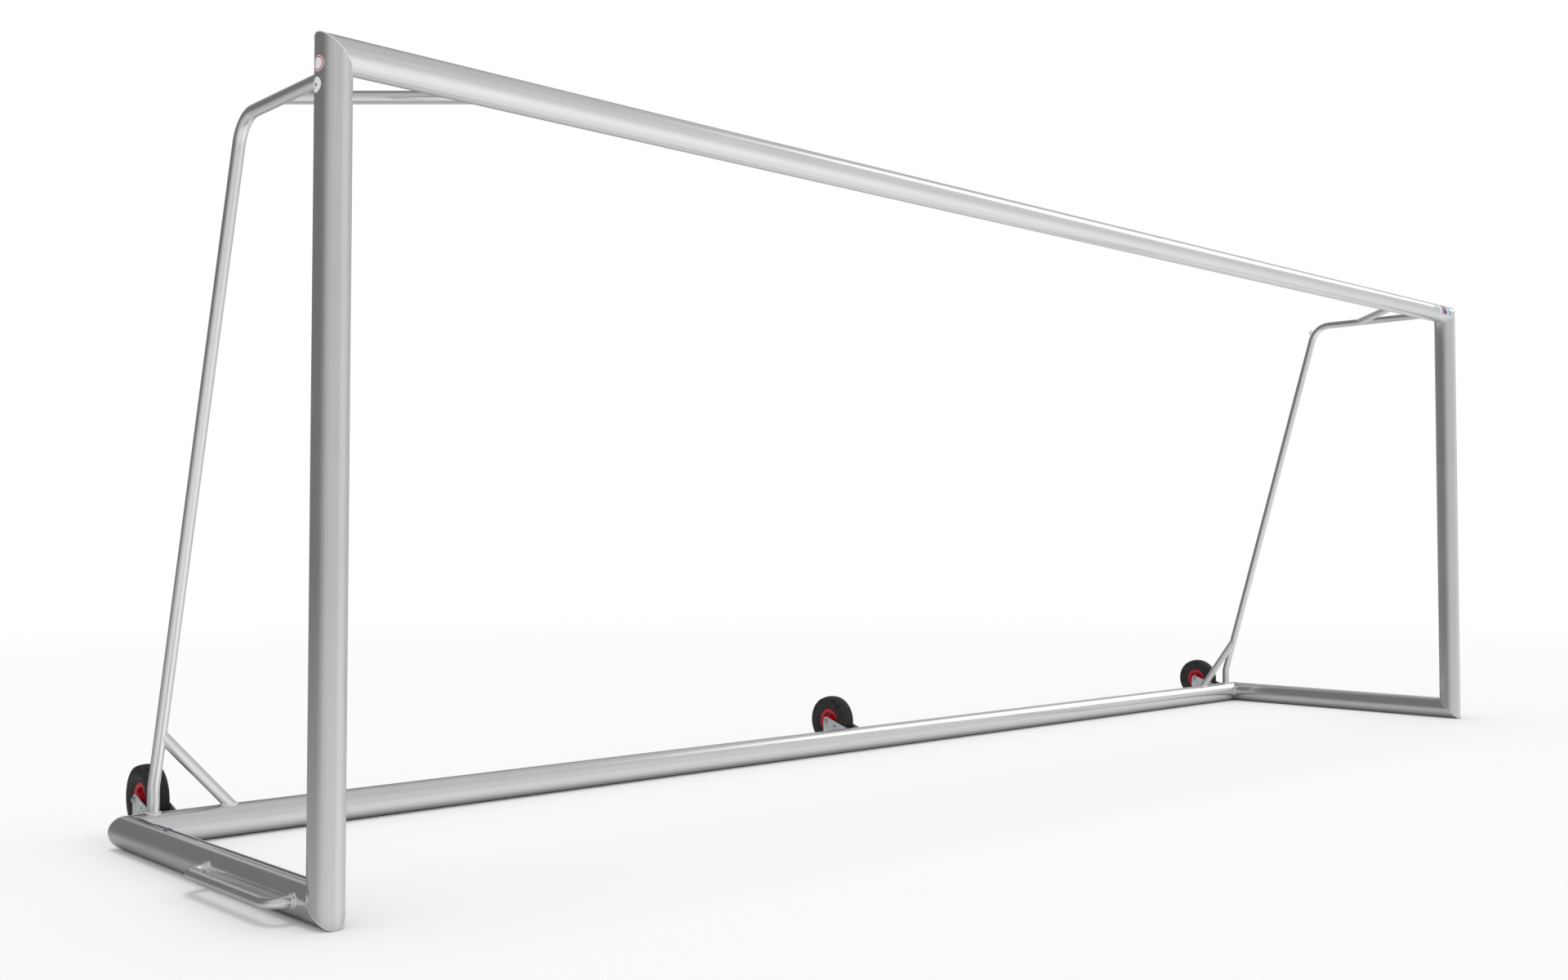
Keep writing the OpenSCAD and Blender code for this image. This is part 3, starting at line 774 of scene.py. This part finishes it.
def rim_profile():
    """The rim's section as (radius, x): bore, hub, dished face, flange and seat, then mirrored."""
    hub = [(0.0150, 0.0405), (0.0152, 0.0412), (0.0225, 0.0412), (0.0240, 0.0408), (0.0252, 0.0395),
           (0.0258, 0.0300), (0.0275, 0.0100)]
    face = [(0.0300, 0.0072), (0.0365, 0.0068), (SEAT_R - 0.0142, 0.0085), (SEAT_R - 0.0124, 0.0130),
            (SEAT_R - 0.0112, 0.0240), (SEAT_R - 0.0090, 0.0262), (SEAT_R - 0.0035, 0.0270)]
    flange = [(SEAT_R + 0.0012, 0.0276), (RIM_R - 0.0022, 0.0280), (RIM_R - 0.0008, 0.0272),
              (RIM_R - 0.0004, 0.0262)]
    seat = [(SEAT_R + 0.0018, 0.0240), (SEAT_R, 0.0222)]
    right = hub + face + flange + seat
    return right + [(r, -x) for r, x in reversed(right)]


def tread(r, x, w):
    """The tread's grooves wander a little from side to side round the tyre."""
    if r > WHEEL_R - 0.006 and 0.002 < abs(x) < 0.026:
        x += TREAD_WANDER * math.asin(math.sin(w * TREAD_WAVES)) * (1 if x > 0 else -1)
    return r, x


for side, axle in AXLES.items():
    body = side + "_wheel"
    verts, faces = revolve(tyre_profile(), axle, 180, tread)
    tyre = new_piece(side + "_tyre_skin", verts, faces, "rubber", body, 32.0)
    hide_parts(side + "_tyre")
    verts, faces = revolve(rim_profile(), axle, 120)
    rim = new_piece(side + "_rim_shell", verts, faces, "red", body, 38.0)
    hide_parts(side + "_rim")


# ---- stickers and the net clip ----

STICKER_T = 0.25 * MM
STICKER_UNDER = 0.03 * MM
ROUND_STICKER_R = 23 * MM


def skin_u(v):
    """Half width of the profile at depth v."""
    if abs(v) <= SIDE_R * math.sin(math.radians(TANGENT)):
        return math.sqrt(SIDE_R ** 2 - v ** 2) - SIDE_E
    return math.sqrt(END_R ** 2 - (abs(v) - END_C) ** 2)


def skin_v(u):
    """Half depth of the profile at width u."""
    if abs(u) <= END_R * math.cos(math.radians(TANGENT)):
        return END_C + math.sqrt(END_R ** 2 - u ** 2)
    return math.sqrt(SIDE_R ** 2 - (abs(u) + SIDE_E) ** 2)


def keys_of(bands):
    """The materials of (place, material) pairs, each once, in order."""
    return list(dict.fromkeys(key for _, key in bands))


def round_sticker(name, v, z, bands, n=72):
    """A thin disc wrapped on the left post's outer face, at depth v and height z. bands are
    (outer edge as a share of the radius, material) pairs."""
    keys = keys_of(bands)
    marks, mats = [0.02], []
    for edge, key in bands:
        steps = max(1, round((edge - marks[-1]) / 0.12))
        first = marks[-1]
        for i in range(steps):
            marks.append(first + (edge - first) * (i + 1) / steps)
            mats.append(keys.index(key))
    rings = []
    for lift, order in ((STICKER_T, marks), (STICKER_UNDER, marks[::-1])):
        for mark in order:
            r = ROUND_STICKER_R * mark
            ring = []
            for k in range(n):
                w = 2 * math.pi * k / n
                dv = v + r * math.cos(w)
                ring.append(Vector((-POST_X - skin_u(dv) - lift, MOUTH_Y + dv, z + r * math.sin(w))))
            rings.append(ring)
    verts, faces = loft(rings)
    bands_of_faces = mats + [mats[-1]] + mats[::-1]
    face_mats = [m for m in bands_of_faces for _ in range(n)] + [mats[0], mats[0]]
    new_piece(name, verts, faces, keys, smooth=30.0, face_mats=face_mats)


round_sticker("upper_post_sticker", -7 * MM, 2.452,
              [(0.74, "white"), (0.90, "sred"), (1.0, "white")])
round_sticker("lower_post_sticker", 2 * MM, 2.392, [(0.22, "sblue"), (1.0, "white")])


def bar_sticker(name, z_low, z_high, x_first, blocks, n=14):
    """A thin strip wrapped on the crossbar's front, in colour blocks of (end x, material) pairs."""
    keys = keys_of(blocks)
    heights = [z_low + (z_high - z_low) * i / n for i in range(n + 1)]
    rings = []
    for x in [x_first] + [end for end, _ in blocks]:
        ring = []
        for lift, order in ((STICKER_T, heights), (STICKER_UNDER, heights[::-1])):
            ring += [Vector((x, MOUTH_Y - skin_v(z - BAR_Z) - lift, z)) for z in order]
        rings.append(ring)
    verts, faces = loft(rings)
    mats = [keys.index(key) for _, key in blocks]
    face_mats = [m for m in mats for _ in range(len(rings[0]))] + [mats[0], mats[-1]]
    new_piece(name, verts, faces, keys, smooth=30.0, face_mats=face_mats)


bar_sticker("crossbar_sticker", 2.480, 2.532, 3.45,
            [(3.515, "sgreen"), (3.545, "white"), (3.580, "smag"), (3.612, "sblue"), (3.636, "white"),
             (3.660, "scyan")])


# How far the clip stands behind the mouth's plane
CLIP_BACK = 1.14


def net_clip(name, y, n=40):
    """An oval plastic clip in the left ground tube's groove, as nets are hung from."""
    wide, long = Vector((12 * MM, 0, 0)), Vector((0, 22 * MM, 0))
    rings = []
    for share, lift in ((0.55, -2.0), (1.0, -1.2), (1.04, 0.6), (1.0, 1.8), (0.90, 2.6), (0.6, 3.1),
                        (0.3, 3.3)):
        centre = Vector((-POST_X, y, PROFILE_D + lift * MM))
        rings.append(around(centre, wide, long, share, n))
    verts, faces = loft(rings)
    new_piece(name, verts, faces, "clip", smooth=50.0)


net_clip("groove_net_clip", MOUTH_Y + CLIP_BACK)


# ---- stage, light and camera ----

# The floor: its albedo, the distances over which it fades to plain white, its half width, and
# how far a contact dims what the metal sees through it
FLOOR_PALE = (0.985, 0.985, 0.985)
FLOOR_FADE = (7.0, 16.0)
FLOOR_HALF = 60.0
CONTACT_REACH = 0.24
# The light on diffuse surfaces: the dome's share, its level at the horizon and overhead, the key
DOME_SHARE = 0.72
DOME_HORIZON = 1.53
DOME_TOP = 0.77
KEY_SPREAD = 26
KEY_STRENGTH = 0.24 * math.pi
# The studio that the metal reflects. Greys are as the metal shows them; angles in degrees,
# azimuth 0 towards the rear and 90 towards the right. STUDIO_TURN runs from the side away from
# DARK_SIDE (0) to DARK_SIDE itself (1), and STUDIO_BELOW from the horizon (0) down (1).
METAL_TONE = 0.84
DARK_SIDE = -32
STUDIO_TURN = [(0.0, 0.47), (0.3, 0.46), (0.47, 0.43), (0.54, 0.41), (0.60, 0.36), (0.67, 0.30),
               (0.75, 0.22), (0.85, 0.15)]
STUDIO_BELOW = [(0.0, 0.0), (0.1, 0.05), (0.2, 0.09), (0.35, 0.13), (0.45, 0.20), (0.6, 0.25)]
# azimuth, half width inside and outside the soft edge, low and high elevation, soft edge, value
STUDIO_PANELS = [
    (130, 2, 38, -80, 32, 12, 0.12),
    (-50, 30, 75, -66, -10, 6, 0.11),
    (100, 7, 18, 23, 46, 5, 1.25),
    (4, 2, 6, 22, 66, 4, 0.45),
    (18, 2, 5, 14, 24, 3, 0.30),
]


def floor():
    """A wide pale floor. Metal sees the studio's lower half through it, dimmed near contacts."""
    g = Graph("floor")
    tc = g.add("ShaderNodeTexCoord")
    reach = g.add("ShaderNodeVectorMath", operation="LENGTH")
    g.link(tc.outputs["Object"], reach.inputs[0])
    pale = g.add("ShaderNodeBsdfDiffuse")
    pale.inputs["Color"].default_value = (*FLOOR_PALE, 1)
    glow = g.add("ShaderNodeEmission")
    shown = g.add("ShaderNodeMixShader")
    g.put(shown.inputs[0], g.span(reach.outputs["Value"], *FLOOR_FADE, 0.0, 1.0, True))
    g.link(pale.outputs[0], shown.inputs[1])
    g.link(glow.outputs[0], shown.inputs[2])
    contact = g.add("ShaderNodeAmbientOcclusion", samples=8)
    contact.inputs["Distance"].default_value = CONTACT_REACH
    clear = g.add("ShaderNodeBsdfTransparent")
    g.put(clear.inputs["Color"], contact.outputs["AO"])
    path = g.add("ShaderNodeLightPath")
    both = g.add("ShaderNodeMixShader")
    g.put(both.inputs[0], path.outputs["Is Glossy Ray"])
    g.link(shown.outputs[0], both.inputs[1])
    g.link(clear.outputs[0], both.inputs[2])
    g.link(both.outputs[0], g.out.inputs["Surface"])
    mesh = bpy.data.meshes.new("floor")
    r = FLOOR_HALF
    mesh.from_pydata([(-r, -r, 0), (r, -r, 0), (r, r, 0), (-r, r, 0)], [], [(0, 1, 2, 3)])
    mesh.materials.append(g.owner)
    obj = bpy.data.objects.new("floor", mesh)
    SCENE.collection.objects.link(obj)


def toward(azimuth, elevation=0.0):
    """Unit vector. Azimuth 0 is +Y and 90 is +X."""
    a, e = math.radians(azimuth), math.radians(elevation)
    return (math.sin(a) * math.cos(e), math.cos(a) * math.cos(e), math.sin(e))


def studio():
    """White to the camera, a graded dome to diffuse surfaces, and a studio with a dark side to metal."""
    g = Graph("studio", world=True)
    tc = g.add("ShaderNodeTexCoord")
    direction = tc.outputs["Generated"]
    flat = g.add("ShaderNodeVectorMath", operation="MULTIPLY")
    g.link(direction, flat.inputs[0])
    flat.inputs[1].default_value = (1, 1, 0)
    level = g.add("ShaderNodeVectorMath", operation="NORMALIZE")
    g.link(flat.outputs[0], level.inputs[0])
    up = g.add("ShaderNodeSeparateXYZ")
    g.link(direction, up.inputs[0])
    z = up.outputs["Z"]

    def nearness(azimuth):
        n = g.add("ShaderNodeVectorMath", operation="DOT_PRODUCT")
        g.link(level.outputs[0], n.inputs[0])
        n.inputs[1].default_value = toward(azimuth)
        return n.outputs["Value"]

    def patch(azimuth, half_in, half_out, low, high, soft, value):
        """A soft panel: full inside half_in degrees of its azimuth and between two elevations."""
        wide = g.span(nearness(azimuth), math.cos(math.radians(half_out)),
                      math.cos(math.radians(half_in)), 0.0, value, True)
        edges = (low - soft, low + soft, high - soft, high + soft)
        a, b, c, d = (math.sin(math.radians(e)) for e in edges)
        tall = g.math("MULTIPLY", g.span(z, a, b, 0.0, 1.0, True), g.span(z, c, d, 1.0, 0.0, True))
        return g.math("MULTIPLY", wide, tall)

    turn = g.span(nearness(DARK_SIDE), -1, 1, 0, 1)
    total = g.ramp(turn, [(pos, grey / METAL_TONE) for pos, grey in STUDIO_TURN])
    depth = g.math("MULTIPLY", z, -1.0)
    below = g.ramp(depth, [(pos, grey / METAL_TONE) for pos, grey in STUDIO_BELOW])
    total = g.math("ADD", total, below)
    for panel in STUDIO_PANELS:
        total = g.math("ADD", total, patch(*panel))
    path = g.add("ShaderNodeLightPath")
    dome = g.span(z, 0.0, 1.0, DOME_HORIZON * DOME_SHARE, DOME_TOP * DOME_SHARE)
    dome = g.mix(path.outputs["Is Diffuse Ray"], (1.0, 1.0, 1.0), dome)
    bg = g.add("ShaderNodeBackground")
    g.put(bg.inputs["Color"], g.mix(path.outputs["Is Glossy Ray"], dome, total))
    g.link(bg.outputs[0], g.out.inputs["Surface"])
    SCENE.world = g.owner


def overhead_key():
    """A broad overhead lamp that grounds the tubes. The metal's reflections come from the studio."""
    lamp = bpy.data.lights.new("overhead_key", "SUN")
    lamp.energy = KEY_STRENGTH
    lamp.angle = math.radians(KEY_SPREAD)
    obj = bpy.data.objects.new("overhead_key", lamp)
    obj.visible_glossy = False
    SCENE.collection.objects.link(obj)


floor()
studio()
overhead_key()

SCENE.view_settings.view_transform = "Standard"
SCENE.view_settings.look = "None"

# The camera stands low in front, to the left, and looks across the mouth. Angles in degrees.
CAMERA_PLACE = (-5.75, -4.9185, 1.093)
CAMERA_RAISED = 1.891
CAMERA_TURNED = -43.326

cam_data = bpy.data.cameras.new("camera")
cam_data.lens = 35.0
cam_data.sensor_width = 36.0
cam_data.clip_end = 200.0
camera = bpy.data.objects.new("camera", cam_data)
camera.location = CAMERA_PLACE
camera.rotation_euler = (math.radians(90 + CAMERA_RAISED), 0.0, math.radians(CAMERA_TURNED))
SCENE.collection.objects.link(camera)
SCENE.camera = camera
